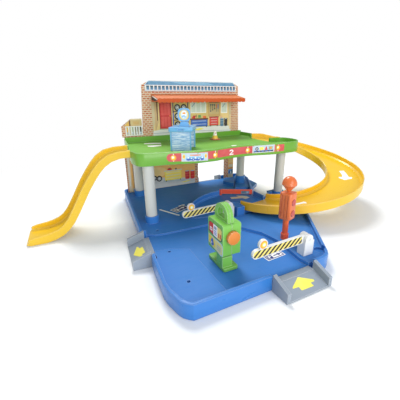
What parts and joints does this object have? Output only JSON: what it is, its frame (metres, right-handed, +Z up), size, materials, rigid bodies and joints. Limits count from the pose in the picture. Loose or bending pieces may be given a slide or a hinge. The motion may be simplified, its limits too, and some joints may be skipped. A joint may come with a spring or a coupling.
{
  "type": "toy parking garage",
  "caption": "Two-level toy garage: blue tray with clip-on ramps, green deck on pillars, slide, curved car ramp, lifting barriers, swing gate, pump, signal and backdrop building",
  "frame": {"origin": "on the surface it stands on, under the middle of the whole toy's outline", "axes": "+X to the right along the backdrop, towards the curved ramp; +Y from the front edge to the backdrop; +Z up"},
  "size_m": [0.7122, 0.5158, 0.2835],
  "materials": {
    "blue_plastic": "glossy moulded blue, the tray and the landing",
    "green_plastic": "glossy moulded green, the deck and the pump",
    "yellow_plastic": "glossy yellow, the slide and the cone",
    "amber_plastic": "glossy orange yellow, the curved ramp",
    "grey_plastic": "satin grey, the clip-on ramps",
    "pale_plastic": "satin pale grey, the pillars",
    "red_plastic": "glossy red, the gate, the signal's post and lamps and the cone's base",
    "orange_plastic": "glossy orange, the signal's head, the knob and the awning",
    "white_plastic": "glossy white, the barriers and the railings",
    "wash_plastic": "glossy light blue, the car wash",
    "printed_board": "printed board, brick and workshop pictures",
    "panel_plastic": "see-through pale blue, ribbed"
  },
  "bodies": {
    "garage": {"base_tray": "blue_plastic", "front_ramp": "grey_plastic", "left_ramp": "grey_plastic", "back_ramp": "grey_plastic", "pillar_front_left": "pale_plastic", "pillar_front_right": "pale_plastic", "pillar_back_left": "pale_plastic", "pillar_back_right": "pale_plastic", "landing_turn": "blue_plastic", "gate_pin": "blue_plastic", "upper_deck": "green_plastic", "slide": "yellow_plastic", "curved_ramp": "amber_plastic", "backdrop_lower": "printed_board", "backdrop_upper": "printed_board", "backdrop_annexe": "printed_board", "roof_railing": "white_plastic", "annexe_railing": "white_plastic", "awning": "orange_plastic", "wash_frame": "wash_plastic", "wash_sign": "wash_plastic", "wash_panel_front": "panel_plastic", "wash_panel_back": "panel_plastic", "cone_base": "red_plastic", "cone_body": "yellow_plastic", "pump_shell_left": "green_plastic", "pump_shell_right": "green_plastic", "signal_post": "red_plastic", "front_barrier_post": "white_plastic", "front_barrier_pin": "white_plastic", "rear_barrier_post": "white_plastic", "rear_barrier_pin": "white_plastic"},
    "front_arm": {"front_barrier_arm": "white_plastic"},
    "rear_arm": {"rear_barrier_arm": "white_plastic"},
    "gate": {"gate_plate": "red_plastic"},
    "knob": {"pump_knob": "orange_plastic"},
    "signal": {"signal_head": "orange_plastic", "signal_lamp_upper": "red_plastic", "signal_lamp_lower": "red_plastic"}
  },
  "joints": [
    {"name": "front_barrier_lift", "type": "hinge", "parent": "garage", "child": "front_arm", "pos_m": [0.03041, -0.2, 0.0433], "axis": [0, 1, 0], "range_deg": [0, 80]},
    {"name": "rear_barrier_lift", "type": "hinge", "parent": "garage", "child": "rear_arm", "pos_m": [0.00091, -0.027, 0.0403], "axis": [0, 1, 0], "range_deg": [0, 80]},
    {"name": "gate_swing", "type": "hinge", "parent": "garage", "child": "gate", "pos_m": [0.03961, 0.06965, 0.0312], "axis": [0, 0, 1], "range_deg": [0, 90]},
    {"name": "pump_knob_turn", "type": "hinge", "parent": "garage", "child": "knob", "pos_m": [-0.08459, -0.1755, 0.0615], "axis": [0, 1, 0], "continuous": true},
    {"name": "signal_turn", "type": "hinge", "parent": "garage", "child": "signal", "pos_m": [0.03591, -0.151, 0.054], "axis": [0, 0, 1], "continuous": true}
  ]
}
